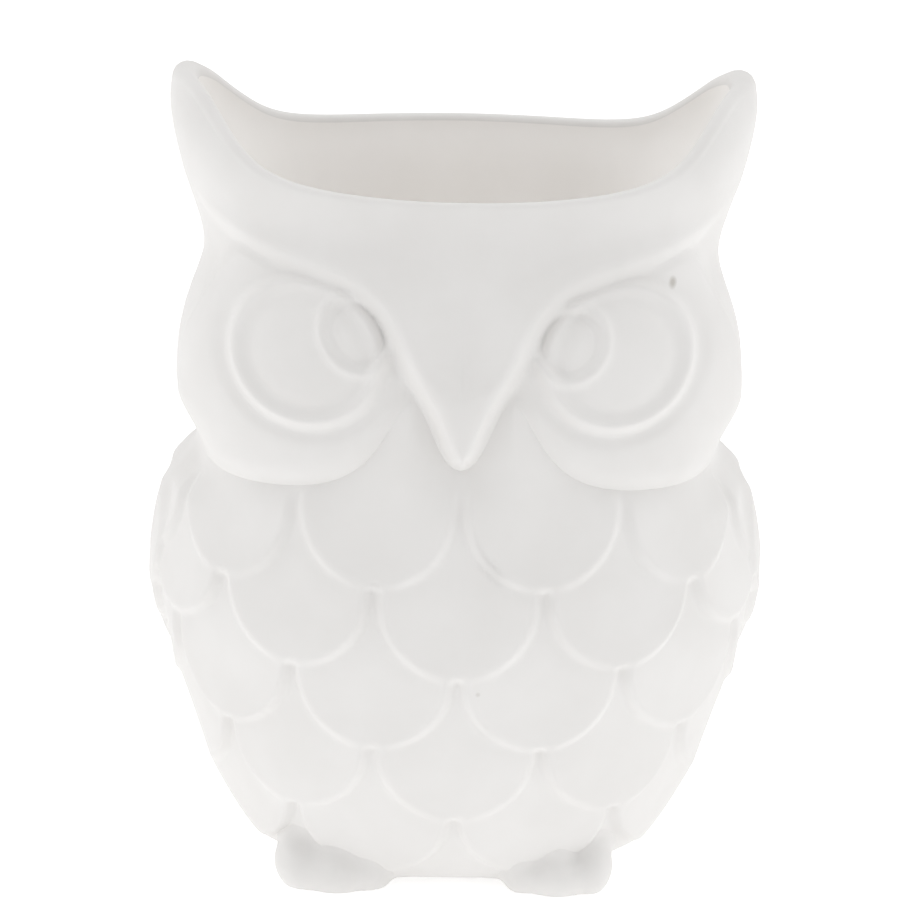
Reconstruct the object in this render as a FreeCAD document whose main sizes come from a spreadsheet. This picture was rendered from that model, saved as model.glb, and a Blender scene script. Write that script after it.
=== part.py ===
import FreeCAD, Part
import os

# Open-topped owl vessel in matt white unglazed porcelain.
# The owl looks along -Y, +Z is up, and "left" and "right" are the owl's own: its left wing is on +X.
# The origin is the centre of the flat base, on the surface that the owl stands on. Units are millimetres.
#
# The hollow is a lower vessel and a head collar, which meet at the neck crease. Wings, feet, tail,
# brow, facial discs, eyes and pupils lie on those two shells, as clay parts are luted on.

# Stations of the two shells: name, height, half width across the wings' side, half depth front to back.
BODY_STATIONS = [
    ("base", 0.0, 32.0, 28.4),
    ("heel", 5.0, 36.6, 32.6),
    ("hip", 18.0, 43.2, 39.0),
    ("flank", 34.0, 48.4, 43.8),
    ("belly", 50.0, 51.8, 46.2),
    ("shoulder", 64.0, 49.5, 44.8),
    ("neck", 76.0, 45.4, 40.5),
]
HEAD_STATIONS = [
    ("neck", 76.0, 45.4, 40.5),
    ("cheek", 88.0, 47.6, 41.0),
    ("eyes", 100.0, 46.5, 38.5),
    ("temple", 110.0, 44.6, 35.2),
    ("forehead", 117.0, 46.2, 32.6),
    ("rim", 124.0, 48.6, 29.8),
    ("horn", 132.0, 50.4, 24.0),
    ("tip", 140.0, 50.6, 15.0),
]
DIMENSIONS = {
    "wall": 2.4,
    "floor": 4.5,
    "floor_width": 31.0,
    "floor_depth": 27.0,
    "rim_height": 123.0,
    "rim_flat": 20.0,
    "horn_sweep": 33.0,
    "brow_proud": 2.2,
    "brow_foot": 82.5,
    "beak_radius": 4.4,
    "beak_length": 11.0,
    "beak_depth": 40.5,
    "disc_proud": 1.4,
    "disc_radius": 20.0,
    "disc_x": 28.0,
    "disc_z": 97.0,
    "eye_proud": 2.4,
    "eye_radius": 12.8,
    "eye_x": 25.0,
    "eye_z": 99.0,
    "pupil_radius": 6.6,
    "pupil_dome": 3.4,
    "pupil_x": 18.5,
    "pupil_y": -35.2,
    "pupil_z": 102.0,
    "wing_proud": 2.6,
    "foot_x": 19.2,
    "foot_y": -25.5,
    "foot_z": 1.2,
    "foot_width": 10.6,
    "foot_reach": 10.2,
    "foot_rise": 8.3,
    "toe_radius": 3.8,
    "toe_pitch": 6.2,
    "toe_reach": 6.3,
    "tail_y": 34.5,
    "tail_z": 13.0,
    "tail_width": 14.5,
    "tail_reach": 10.5,
    "tail_rise": 19.0,
}
# Half of the brow's V, from the beak's root up to the temple: distance from the middle, height.
BROW_LINE = [(7.0, 93.0), (13.0, 102.0), (22.0, 109.0), (37.0, 112.5), (30.0, 116.5)]
# Feather lobes that make up a wing's outline: distance behind the middle, height, radius.
WING_LOBES = [
    (-3.0, 57.5, 13.0),
    (-3.5, 51.0, 12.5),
    (6.0, 43.0, 12.5),
    (13.5, 34.0, 11.5),
    (20.0, 26.0, 10.0),
    (25.0, 18.5, 8.5),
]
REACH = 70.0  # more than half the owl in any direction across it

doc = FreeCAD.newDocument("owl_vessel")
sheet = doc.addObject("Spreadsheet::Sheet", "dims")


def fill_sheet():
    """Write every driving dimension to a cell and give the cell its alias."""
    cells = dict(DIMENSIONS)
    for name, height, width, depth in BODY_STATIONS + HEAD_STATIONS:
        cells[name + "_height"] = height
        cells[name + "_width"] = width
        cells[name + "_depth"] = depth
    for row, (alias, value) in enumerate(cells.items(), start=1):
        sheet.set(f"A{row}", alias)
        sheet.set(f"B{row}", str(value))
        sheet.setAlias(f"B{row}", alias)
    doc.recompute()


def place(piece, x="0", y="0", z="0"):
    """Bind an object's position to expressions on the sheet."""
    for axis, words in zip("xyz", (x, y, z)):
        piece.setExpression(f"Placement.Base.{axis}", words)


def loft(name, stations, grow):
    """A solid through elliptical sections, each wider and deeper than its station by grow."""
    sections = []
    for station, *_ in stations:
        ring = doc.addObject("Part::Ellipse", f"{name}_{station}")
        ring.setExpression("MajorRadius", f"dims.{station}_width + {grow}")
        ring.setExpression("MinorRadius", f"dims.{station}_depth + {grow}")
        place(ring, z=f"dims.{station}_height")
        sections.append(ring)
    solid = doc.addObject("Part::Loft", name)
    solid.Sections = sections
    solid.Solid = True
    return solid


def cut(name, base, tool):
    piece = doc.addObject("Part::Cut", name)
    piece.Base = base
    piece.Tool = tool
    return piece


def common(name, base, tool):
    piece = doc.addObject("Part::Common", name)
    piece.Base = base
    piece.Tool = tool
    return piece


def fuse(name, pieces):
    piece = doc.addObject("Part::MultiFuse", name)
    piece.Shapes = pieces
    return piece


def mirrored(name, source):
    """The same piece on the owl's right side."""
    piece = doc.addObject("Part::Mirroring", name)
    piece.Source = source
    piece.Normal = FreeCAD.Vector(1, 0, 0)
    piece.Base = FreeCAD.Vector(0, 0, 0)
    return piece


def rod(name, radius, length, axis, x="0", y="0", z="0"):
    """A cylinder from its placement along an axis: "x", "-y" or "y"."""
    turns = {
        "x": FreeCAD.Rotation(FreeCAD.Vector(0, 1, 0), 90),
        "y": FreeCAD.Rotation(FreeCAD.Vector(1, 0, 0), -90),
        "-y": FreeCAD.Rotation(FreeCAD.Vector(1, 0, 0), 90),
    }
    piece = doc.addObject("Part::Cylinder", name)
    piece.setExpression("Radius", str(radius))
    piece.Height = length
    piece.Placement.Rotation = turns[axis]
    place(piece, x, y, z)
    return piece


def egg(name, across, along, up, x, y, z):
    """An ellipsoid with its half sizes and centre given as expressions."""
    piece = doc.addObject("Part::Ellipsoid", name)
    piece.setExpression("Radius1", up)
    piece.setExpression("Radius2", across)
    piece.setExpression("Radius3", along)
    place(piece, x, y, z)
    return piece


def table_block():
    """Everything below the surface that the owl stands on."""
    block = doc.addObject("Part::Box", "below_table")
    block.Length = block.Width = 2 * REACH
    block.Height = REACH
    place(block, x=str(-REACH), y=str(-REACH), z=str(-REACH))
    return block


def body_shell(body):
    """The lower vessel: the body's solid less a hollow that starts on top of the floor."""
    floor_ring = doc.addObject("Part::Ellipse", "hollow_floor")
    floor_ring.setExpression("MajorRadius", "dims.floor_width")
    floor_ring.setExpression("MinorRadius", "dims.floor_depth")
    place(floor_ring, z="dims.floor")
    hollow = loft("body_hollow", BODY_STATIONS[2:], "(-dims.wall)")
    hollow.Sections = [floor_ring] + hollow.Sections
    return cut("body_shell", body, hollow)


def head_shell(head):
    """The head collar: hollow, with a rim that runs level and sweeps up into a horn on each side."""
    hollow = loft("head_hollow", HEAD_STATIONS, "(-dims.wall)")
    tube = cut("head_tube", head, hollow)
    level = doc.addObject("Part::Box", "rim_level")
    level.setExpression("Length", "2 * dims.rim_flat")
    level.Width = 2 * REACH
    level.setExpression("Height", "dims.horn_sweep")
    place(level, x="-dims.rim_flat", y=str(-REACH), z="dims.rim_height")
    lift = "dims.rim_height + dims.horn_sweep"
    sweeps = [
        rod("rim_sweep_left", "dims.horn_sweep", 2 * REACH, "y", "dims.rim_flat", str(-REACH), lift),
        rod("rim_sweep_right", "dims.horn_sweep", 2 * REACH, "y", "-dims.rim_flat", str(-REACH), lift),
    ]
    return cut("head_shell", tube, fuse("rim_cutter", [level] + sweeps))


def brow_prism():
    """The brow's V seen from the front, as a prism that reaches back into the head."""
    body = doc.addObject("PartDesign::Body", "brow_outline")
    sketch = body.newObject("Sketcher::SketchObject", "brow_sketch")
    plane = next(f for f in body.Origin.OriginFeatures if f.Role == "XZ_Plane")
    sketch.AttachmentSupport = [(plane, "")]
    sketch.MapMode = "FlatFace"
    foot = (0.0, sheet.get("brow_foot"))
    corners = [foot] + BROW_LINE + [(-x, z) for x, z in reversed(BROW_LINE)]
    points = [FreeCAD.Vector(x, z, 0) for x, z in corners]
    for start, end in zip(points, points[1:] + points[:1]):
        sketch.addGeometry(Part.LineSegment(start, end), False)
    pad = body.newObject("PartDesign::Pad", "brow_pad")
    pad.Profile = sketch
    pad.Length = REACH
    body.Tip = pad
    doc.recompute()
    if pad.Shape.BoundBox.YMax > 1.0:
        pad.Reversed = True
    return body


def brow_and_beak(head, prism):
    """The raised forehead shield and the beak at its point."""
    skin = common("brow_skin", prism, loft("head_brow", HEAD_STATIONS, "dims.brow_proud"))
    beak = doc.addObject("Part::Cone", "beak_cone")
    beak.setExpression("Radius1", "dims.beak_radius / 6")
    beak.setExpression("Radius2", "dims.beak_radius")
    beak.setExpression("Height", "dims.beak_length")
    place(beak, y="-dims.beak_depth - dims.beak_radius / 2", z="dims.brow_foot - 1")
    return cut("brow_and_beak", fuse("brow_solid", [skin, beak]), head)


def left_eye_parts(head, brow, prism):
    """The facial disc, the eye ring set in it and the domed pupil, on the owl's left."""
    disc_rod = rod("disc_rod", "dims.disc_radius", REACH, "-y", "dims.disc_x", "0", "dims.disc_z")
    eye_rod = rod("eye_rod", "dims.eye_radius", REACH, "-y", "dims.eye_x", "0", "dims.eye_z")
    pupil_rod = rod(
        "pupil_rod", "dims.pupil_radius", REACH, "-y", "dims.pupil_x", "0", "dims.pupil_z"
    )
    brow_side = fuse("brow_side", [head, brow, prism])
    disc_skin = common("disc_skin", disc_rod, loft("head_disc", HEAD_STATIONS, "dims.disc_proud"))
    disc = cut("left_facial_disc", disc_skin, fuse("disc_limit", [brow_side, eye_rod, pupil_rod]))
    eye_skin = common("eye_skin", eye_rod, loft("head_eye", HEAD_STATIONS, "dims.eye_proud"))
    eye = cut("left_eye_ring", eye_skin, fuse("eye_limit", [brow_side, pupil_rod]))
    dome = egg(
        "pupil_egg",
        "dims.pupil_radius - 0.1",
        "dims.pupil_dome",
        "dims.pupil_radius - 0.1",
        "dims.pupil_x",
        "dims.pupil_y",
        "dims.pupil_z",
    )
    pupil = cut("left_pupil", dome, brow_side)
    return disc, eye, pupil


def left_wing(body):
    """The folded wing: lobes of feathers on the body's side, as thick as the wing stands proud."""
    lobes = [
        rod(f"wing_lobe_{number}", radius, REACH, "x", "0", str(back), str(height))
        for number, (back, height, radius) in enumerate(WING_LOBES, start=1)
    ]
    grown = loft("body_wing", BODY_STATIONS, "dims.wing_proud")
    skin = common("wing_skin", fuse("wing_outline", lobes), grown)
    return cut("left_wing", skin, body)


def left_foot(body, table):
    """A rounded foot with toes at its front, flat underneath, against the body."""
    heel = egg(
        "foot_egg", "dims.foot_width", "dims.foot_reach", "dims.foot_rise",
        "dims.foot_x", "dims.foot_y", "dims.foot_z",
    )
    toes = [
        egg(
            f"toe_{number}", "dims.toe_radius", "dims.toe_radius", "dims.toe_radius",
            f"dims.foot_x + {number - 2} * dims.toe_pitch",
            "dims.foot_y - dims.toe_reach",
            "dims.toe_radius - 1",
        )
        for number in (1, 2, 3)
    ]
    return cut("left_foot", fuse("foot_solid", [heel] + toes), fuse("foot_limit", [body, table]))


def tail(body, table):
    """A short rounded tail against the back of the body."""
    fan = egg(
        "tail_egg", "dims.tail_width", "dims.tail_reach", "dims.tail_rise",
        "0", "dims.tail_y", "dims.tail_z",
    )
    return cut("tail", fan, fuse("tail_limit", [body, table]))


def check(pieces):
    """Stop if an object failed to compute or a piece isn't one valid closed solid."""
    for item in doc.Objects:
        if "Invalid" in item.State or "Error" in item.State:
            raise RuntimeError(f"{item.Label} did not compute: {item.State}")
    for piece in pieces:
        shape = piece.Shape
        if shape.isNull() or not shape.isValid() or len(shape.Solids) != 1:
            raise RuntimeError(f"{piece.Label} has {len(shape.Solids)} solids or isn't valid")


def write(pieces):
    os.makedirs("parts", exist_ok=True)
    for piece in pieces:
        piece.Shape.exportStep(f"parts/{piece.Label}.step")
        box = piece.Shape.BoundBox
        print(f"{piece.Label}: {piece.Shape.Volume:.0f} mm3, x {box.XMin:.1f} {box.XMax:.1f}, "
              f"y {box.YMin:.1f} {box.YMax:.1f}, z {box.ZMin:.1f} {box.ZMax:.1f}")


fill_sheet()
body = loft("body_solid", BODY_STATIONS, "0")
head = loft("head_solid", HEAD_STATIONS, "0")
prism = brow_prism()
table = table_block()
brow = brow_and_beak(head, prism)
one_side = list(left_eye_parts(head, brow, prism)) + [left_wing(body), left_foot(body, table)]
other_side = [mirrored(piece.Label.replace("left_", "right_"), piece) for piece in one_side]
pieces = [body_shell(body), head_shell(head), brow, tail(body, table)] + one_side + other_side
doc.recompute()
check(pieces)
write(pieces)
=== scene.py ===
import math

import bpy
import numpy as np
from mathutils import Matrix, Vector


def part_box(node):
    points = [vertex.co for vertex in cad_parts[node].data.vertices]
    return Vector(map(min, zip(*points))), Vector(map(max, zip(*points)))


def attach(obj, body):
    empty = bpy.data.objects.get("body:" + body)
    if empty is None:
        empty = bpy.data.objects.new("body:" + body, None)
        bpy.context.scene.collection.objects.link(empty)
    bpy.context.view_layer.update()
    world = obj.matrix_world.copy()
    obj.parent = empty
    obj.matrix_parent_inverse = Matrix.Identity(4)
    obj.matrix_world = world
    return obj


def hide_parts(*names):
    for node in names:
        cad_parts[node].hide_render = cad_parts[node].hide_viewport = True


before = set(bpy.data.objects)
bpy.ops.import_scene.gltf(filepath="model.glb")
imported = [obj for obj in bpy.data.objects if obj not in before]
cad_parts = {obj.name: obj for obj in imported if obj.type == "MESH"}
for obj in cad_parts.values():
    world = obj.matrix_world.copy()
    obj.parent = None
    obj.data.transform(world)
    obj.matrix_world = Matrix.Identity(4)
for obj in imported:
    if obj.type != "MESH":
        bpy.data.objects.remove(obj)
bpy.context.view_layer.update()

# The owl is one smooth hollow form with relief on it. A point of the form is given by psi, the
# angle round the vertical axis (0 at the front, positive towards +X), and z, its height. Every
# piece is a patch of that one surface, so neighbours share their borders exactly.
# Lengths are in design millimetres: the frame's height over its nominal 140.
NOMINAL_HEIGHT = 140.0
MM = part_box("head_shell")[1].z / NOMINAL_HEIGHT

RIM_WALL = 2.2          # thickness at the rim, front and back
TUFT_WALL = 4.6         # thickness at the rim in the ear tufts
WALL = 4.0              # thickness lower down
FLOOR = 4.5             # height of the floor inside
FLOOR_CORNER = 3.0      # radius between the floor and the wall
FLOOR_RADIUS = 30.0     # about how far the floor reaches from the middle
NECK = 76.2             # height of the crease between head and body, at the back
BASE_ROUND = 1.6        # radius of the edge that the owl stands on

# Half width and half depth of the smooth form at each height.
HALF_WIDTH = [
    (0, 29.0), (2, 32.2), (5, 35.8), (10, 39.4), (18, 43.2), (26, 46.2), (34, 48.6), (44, 51.2),
    (52, 52.2), (60, 51.6), (68, 49.9), (76, 49.2), (84, 49.5), (90, 49.4), (95, 48.9), (100, 47.6),
    (105, 45.8), (110, 44.8), (114, 45.5), (119, 47.2), (125, 49.0), (130, 50.2), (135, 50.8),
    (140, 50.2),
]
HALF_DEPTH = [
    (0, 22.4), (2, 25.8), (5, 29.4), (10, 33.6), (18, 38.0), (26, 41.4), (34, 43.6), (44, 45.6),
    (52, 46.2), (60, 45.8), (68, 44.8), (76, 43.6), (84, 42.9), (90, 42.2), (96, 41.3), (102, 40.0),
    (107, 38.4), (111, 36.6), (115, 34.8), (118, 33.8), (121, 33.4), (124, 33.3), (127, 32.6),
    (130, 31.0), (133, 28.0), (136, 24.2), (140, 18.0),
]
# How square the form is, seen from above: 2 is an ellipse.
SQUARENESS = [(0, 2.1), (50, 2.15), (76, 2.3), (90, 2.5), (110, 2.6), (140, 2.6)]
# The rim, below its rounding: angle from the front in degrees, height.
RIM = [
    (-20, 122.8), (0, 122.2), (20, 122.8), (32, 124.0), (40, 125.8), (46, 128.6), (52, 132.9),
    (58, 136.0), (66, 137.6), (78, 138.2), (90, 138.3), (104, 138.0), (114, 136.8), (122, 134.6),
    (130, 130.3), (137, 126.8), (146, 124.9), (160, 124.6), (180, 124.9), (200, 124.6),
]
# How far the middle of the form lies behind the axis: the forehead leans back.
LEAN = [(0, 0), (84, 0), (96, 0.5), (107, 1.6), (115, 2.5), (123, 3.2), (132, 3.8), (140, 4.4)]
# The crease between head and body: angle from the front in degrees, height. It runs round the
# beak, up beside it and down again under each facial disc.
NECK_CREASE = [
    (-5.1, 85.6), (-2.6, 81.9), (0, 80.7), (2.6, 81.9), (5.1, 85.6), (7.6, 90.2), (9.8, 91.9),
    (12, 89.9), (15.5, 84.9), (19, 81.2), (24, 78.3), (31, 76.5), (40, 75.6), (50, 75.3),
    (62, 75.6), (80, 76.1), (100, NECK), (140, NECK), (180, NECK),
]
# The lower edge of beak and brow: distance from the middle, height.
BROW_FOOT = [
    (0.0, 80.4), (2.6, 82.0), (4.4, 86.0), (6.9, 91.3), (10.3, 97.0), (12.8, 102.3), (15.6, 106.2),
    (20.0, 108.9), (26.0, 110.7), (32.0, 112.3), (38.5, 114.6), (44.0, 117.5), (52.0, 123.0),
]
# The eye ring: distance from the middle and height, half width and half height.
EYE_CENTRE = (25.9, 98.9)
EYE_RADII = (12.9, 11.9)
# The outer edge of a facial disc: distance round the head from the front, height.
DISC_EDGE = [
    (41.0, 115.0), (46.4, 111.8), (52.0, 107.0), (58.0, 101.0), (62.5, 94.5), (63.5, 87.5),
    (61.0, 81.0), (55.0, 74.5),
]


OUTSIDE = -20.0         # stands for a point well outside a region


# ---------------------------------------------------------------- curves and blends
def natural_spline(points):
    """A smooth curve through the points, as a function."""
    x, y = np.array(points, float).T
    h = np.diff(x)
    n = len(x)
    rows = np.eye(n)
    right = np.zeros(n)
    for i in range(1, n - 1):
        rows[i, i - 1:i + 2] = h[i - 1], 2 * (h[i - 1] + h[i]), h[i]
        right[i] = 6 * ((y[i + 1] - y[i]) / h[i] - (y[i] - y[i - 1]) / h[i - 1])
    bend = np.linalg.solve(rows, right)

    def curve(at):
        at = np.clip(at, x[0], x[-1])
        i = np.clip(np.searchsorted(x, at) - 1, 0, n - 2)
        a, b = x[i + 1] - at, at - x[i]
        return (
            (bend[i] * a**3 + bend[i + 1] * b**3) / (6 * h[i])
            + (y[i] / h[i] - bend[i] * h[i] / 6) * a
            + (y[i + 1] / h[i] - bend[i + 1] * h[i] / 6) * b
        )

    return curve


def smoothstep(value, low=0.0, high=1.0):
    """Runs gently from 0 at low to 1 at high."""
    t = np.clip((value - low) / (high - low), 0, 1)
    return t * t * (3 - 2 * t)


def bump(value, width):
    """A smooth hump, 1 where the value is 0."""
    return np.exp(-((value / width) ** 2))


def smooth_min(a, b, k):
    """The smaller of two values, blended over a band k wide."""
    t = np.clip(0.5 + 0.5 * (b - a) / k, 0, 1)
    return b + (a - b) * t - k * t * (1 - t)


def dense(points, count=90):
    """The points joined by a smooth line of many short runs."""
    points = np.array(points, float)
    along = np.concatenate([[0], np.cumsum(np.hypot(*np.diff(points, axis=0).T))])
    at = np.linspace(0, along[-1], count)
    parts = [natural_spline(list(zip(along, column)))(at) for column in points.T]
    return np.stack(parts, 1)


def line_distance(x, z, line):
    """Signed distance to a line of short runs, positive on its right-hand side."""
    a, b = line[:-1], line[1:]
    run = b - a
    best = np.full(x.shape, 1e9)
    side = np.ones(x.shape)
    for (ax, az), (rx, rz) in zip(a, run):
        t = np.clip(((x - ax) * rx + (z - az) * rz) / (rx * rx + rz * rz), 0, 1)
        dx, dz = x - ax - t * rx, z - az - t * rz
        d = np.hypot(dx, dz)
        nearer = d < best
        best = np.where(nearer, d, best)
        side = np.where(nearer, np.sign(dx * rz - dz * rx), side)
    return best * side


# ---------------------------------------------------------------- the smooth form
half_width = natural_spline(HALF_WIDTH)
half_depth = natural_spline(HALF_DEPTH)
lean = natural_spline(LEAN)
squareness = natural_spline(SQUARENESS)
_rim = natural_spline(RIM)
_crease = natural_spline(NECK_CREASE)
BROW_LINE = dense(BROW_FOOT)
DISC_LINE = dense(DISC_EDGE)


def wrapped(psi):
    """The same angle between -pi and pi."""
    return (psi + math.pi) % (2 * math.pi) - math.pi


def crease_height(psi):
    """Height of the crease between head and body."""
    return _crease(np.degrees(np.abs(wrapped(psi))))


def outline(psi, z, inwards=(0.0, 0.0)):
    """Points of the smooth form, or of one set in by a wall in width and in depth."""
    n = squareness(z)
    s, c = np.sin(psi), np.cos(psi)
    swell = (np.abs(s) ** n + np.abs(c) ** n) ** (-1 / n)
    base_round = BASE_ROUND - np.sqrt(BASE_ROUND**2 - np.clip(BASE_ROUND - z, 0, BASE_ROUND) ** 2)
    a = half_width(z) - base_round - inwards[0]
    b = half_depth(z) - base_round - inwards[1]
    return np.stack([a * swell * s, lean(z) - b * swell * c, z + 0 * s], -1)


def form(psi, z):
    """Points of the smooth form and the outward directions there."""
    turn, rise = 0.01, 0.3
    round_it = outline(psi + turn, z) - outline(psi - turn, z)
    up_it = outline(psi, z + rise) - outline(psi, z - rise)
    out = np.cross(round_it, up_it)
    return outline(psi, z), out / np.linalg.norm(out, axis=-1, keepdims=True)


_front = np.linspace(0, 1.35, 160)
CREASE_LINE = outline(_front, crease_height(_front))[:, [0, 2]]


def rim_wall(psi):
    """Thickness at the rim, in width: the tufts are nearly solid."""
    return RIM_WALL + (TUFT_WALL - RIM_WALL) * np.abs(np.sin(psi)) ** 4


def rim_line(psi, inside=False):
    """Height of the rim's outer or inner edge above angle psi."""
    z = _rim(np.degrees(np.abs(wrapped(psi))))
    return z - 0.5 * (rim_wall(psi) - RIM_WALL) if inside else z


def arc_length(psi, z):
    """Distance round the form from the front to psi, at height z."""
    nodes, weights = np.polynomial.legendre.leggauss(8)
    psi = wrapped(psi)
    total = 0
    for node, weight in zip(nodes, weights):
        at = psi * (node + 1) / 2
        step = outline(at + 0.01, z) - outline(at - 0.01, z)
        total = total + weight / 2 * np.linalg.norm(step, axis=-1) / 0.02
    return psi * total


# ---------------------------------------------------------------- relief: feathers
FEATHER = 14.2          # half the width of a breast feather, and its reach
FEATHER_ROWS = [        # lower edge, whether a feather sits on the middle, rise towards the sides
    (-10.5, True, 0.0),
    (3.4, False, 0.0),
    (16.8, True, 0.0),
    (31.0, False, 0.3),
    (44.4, True, 3.6),
    (60.0, False, -3.0),
]
FEATHER_LIP = 1.35      # how far a feather's lower edge stands proud
FEATHER_FADE = 6.5      # how far in from that edge it falls back
FEATHER_EDGE = 2.0      # width of the step at the edge
FEATHER_PLATE = 0.12    # height of a feather's own surface
UNDER_FEATHERS = 0.25   # height of the body below the lowest row
FEATHERS_ROUND = 10     # feathers in half a row that take the front's spacing
SIDE_FADE = (1.75, 0.42, 40.0, 14.0)    # angle and its spread, height and its spread


def feather_row(psi, z, edge, centred, rise):
    """Distance inside the nearest feather of a row, and how far up beside it the point is."""
    s = np.abs(arc_length(psi, z))
    half_round = np.abs(arc_length(np.full(np.shape(z), math.pi - 1e-6), z))
    spare = half_round - FEATHERS_ROUND * FEATHER
    best = np.full(np.shape(z), -1e9)
    above = np.zeros(np.shape(z))
    for k in range(-1, 7):
        index = k if centred else k + 0.5
        behind = max(index - 2, 0) / 3
        middle = 2 * FEATHER * index + spare * behind**2
        half = FEATHER + spare * behind / 9
        low = edge + rise * min(middle.mean() / 56.0, 1.2) ** 2
        up = z - low - FEATHER
        inside = (1 - np.hypot((s - middle) / half, np.minimum(up, 0) / FEATHER)) * FEATHER
        above = np.where(inside > best, up, above)
        best = np.maximum(best, inside)
    return best, above


def feather_relief(psi, z):
    """Height of the feather rows, which lie over each other like tiles and fade under the wings."""
    angle, spread, level, band = SIDE_FADE
    side = bump(np.abs(wrapped(psi)) - angle, spread)
    above_base = smoothstep(z, -1, 4)
    shown = (1 - 0.9 * side * smoothstep(level - z, 0, band)) * above_base
    height = np.full(np.shape(z), UNDER_FEATHERS) * above_base
    for edge, centred, rise in FEATHER_ROWS:
        inside, above = feather_row(psi, z, edge, centred, rise)
        lip = FEATHER_LIP * (1 - smoothstep(above, -1, 8)) * shown
        cover = smoothstep(inside, 0, FEATHER_EDGE)
        cover = cover + (1 - cover) * smoothstep(above, 0, 9)
        fall = np.exp(-((np.maximum(inside - 1.0, 0) / FEATHER_FADE) ** 1.2))
        top = FEATHER_PLATE * shown + lip * fall
        height = height * (1 - cover) + top * cover
    return height


# ---------------------------------------------------------------- relief: wings and tail
WING_LOBES = [          # distance behind the middle, height, radius: shoulder first
    (-2.0, 59.5, 12.3), (3.5, 51.5, 12.0), (10.0, 43.5, 11.5), (16.0, 35.5, 10.6),
    (21.5, 27.5, 9.6), (26.0, 20.0, 8.4),
]
WING_FROM = 15.0        # a wing lies further than this from the middle
WING_EDGE = 1.5         # height of the wing at its edge
WING_PROUD = 0.7        # how much higher it is inside
WING_LIP = 1.0          # how far the edge of each of its feathers stands proud
WING_FADE = 4.5         # how far in from that edge it falls back
WING_STEP = 1.7         # width of the step at the edge
SHOULDER_STEP = 6.5     # how much wider that step is at the shoulder


def lobe_inside(y, z, lobe):
    return lobe[2] - np.hypot(y - lobe[0], z - lobe[1])


def wing_inside(points):
    """Distance inside the edge of a wing."""
    x, y, z = points.T
    inside = np.max([lobe_inside(y, z, lobe) for lobe in WING_LOBES], axis=0)
    return np.where(np.abs(x) > WING_FROM, inside, OUTSIDE)


def wing_relief(points, height):
    """Lays the wings' feathers, shoulder last, over the height below them."""
    x, y, z = points.T
    plate = WING_EDGE + WING_PROUD * smoothstep(wing_inside(points), 0, 10)
    step = WING_STEP + SHOULDER_STEP * smoothstep(z, 58, 70)
    for lobe in reversed(WING_LOBES):
        inside = np.where(np.abs(x) > WING_FROM, lobe_inside(y, z, lobe), OUTSIDE)
        cover = smoothstep(inside / step)
        top = plate + WING_LIP * (np.exp(-np.maximum(inside, 0) / WING_FADE) - 0.3)
        height = height * (1 - cover) + top * cover
    return height


# Each tail feather is an oval: its middle across and up, half width and half height.
TAIL_FEATHERS = [(-8.6, 5.0, 6.6, 17.0), (8.6, 5.0, 6.6, 17.0), (0.0, 4.0, 7.2, 22.0)]
TAIL_BACK = 41.0        # how far back the tail reaches on the ground
TAIL_BEND = 0.022       # how much it curves in towards its sides
TAIL_SLOPE = 0.16       # how much it leans in with height
TAIL_CROWN = 0.25       # how much the middle of a feather stands proud
TAIL_STEP = 2.6         # width of the step at its edge


def feather_oval(x, z, oval):
    """Distance inside the edge of a tail feather."""
    middle, low, half, rise = oval
    return (1 - np.hypot((x - middle) / half, (z - low) / rise)) * half


def tail_inside(points):
    """Distance inside the edge of the tail."""
    x, y, z = points.T
    inside = np.max([feather_oval(x, z, oval) for oval in TAIL_FEATHERS], axis=0)
    return np.where(y > 0, inside, OUTSIDE)


def tail_push(points, moved):
    """Carries the tail feathers out behind the body, as a short fan that rests on the ground."""
    x, y, z = points.T
    for oval in TAIL_FEATHERS:
        inside = np.where(y > 0, feather_oval(x, z, oval), OUTSIDE)
        cover = smoothstep(inside, 0, TAIL_STEP)
        back = TAIL_BACK - TAIL_BEND * x**2 - TAIL_SLOPE * z + TAIL_CROWN * np.minimum(inside, 4)
        moved[:, 1] += cover * np.maximum(back - moved[:, 1], 0)
    return moved


# ---------------------------------------------------------------- relief: face
def brow_distance(points):
    """Distance outside the brow and beak, positive on the eyes' side; only the front has a brow."""
    x, y, z = points.T
    near = (y < 12) & (z > 72)
    d = np.full(x.shape, 30.0)
    d[near] = line_distance(np.abs(x[near]), z[near], BROW_LINE)
    return d


def disc_inside(psi, z):
    """Distance inside the outer edge of a facial disc."""
    return line_distance(np.abs(arc_length(psi, z)), z, DISC_LINE)


def eye_inside(points):
    """Distance inside the middle of the bead round an eye."""
    x, y, z = points.T
    q = np.hypot((np.abs(x) - EYE_CENTRE[0]) / EYE_RADII[0], (z - EYE_CENTRE[1]) / EYE_RADII[1])
    return np.where(y < 0, (1 - q) * 12.0, OUTSIDE)


# Side: centre across and up, long and short half size, tilt of the long axis in degrees.
PUPILS = {-1: (17.7, 102.6, 5.5, 4.7, 57.0), 1: (17.8, 101.5, 5.3, 5.1, 60.0)}
PUPIL_SIZE = 5.0        # turns a share of a pupil's half size into a distance
PUPIL_RIM = 1.7         # width of the raised rim round its recess


def pupil_frame(points):
    """Position in each pupil's own axes, scaled so that 1 is the edge of its recess."""
    x, y, z = points.T
    u = np.zeros(x.shape)
    v = np.zeros(x.shape)
    for side, (cx, cz, long_half, short_half, tilt) in PUPILS.items():
        here = x * side > 0
        dx, dz = np.abs(x) - cx, z - cz
        c, s = math.cos(math.radians(tilt)), math.sin(math.radians(tilt))
        u = np.where(here, (dx * c + dz * s) / long_half, u)
        v = np.where(here, (dx * s - dz * c) / short_half, v)
    return u, v


def pupil_inside(points):
    """Distance inside the outer edge of the pupil's raised rim."""
    u, v = pupil_frame(points)
    inside = PUPIL_RIM + (1 - np.hypot(u, v)) * PUPIL_SIZE
    return np.where(points[:, 1] < 0, inside, OUTSIDE)


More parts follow.
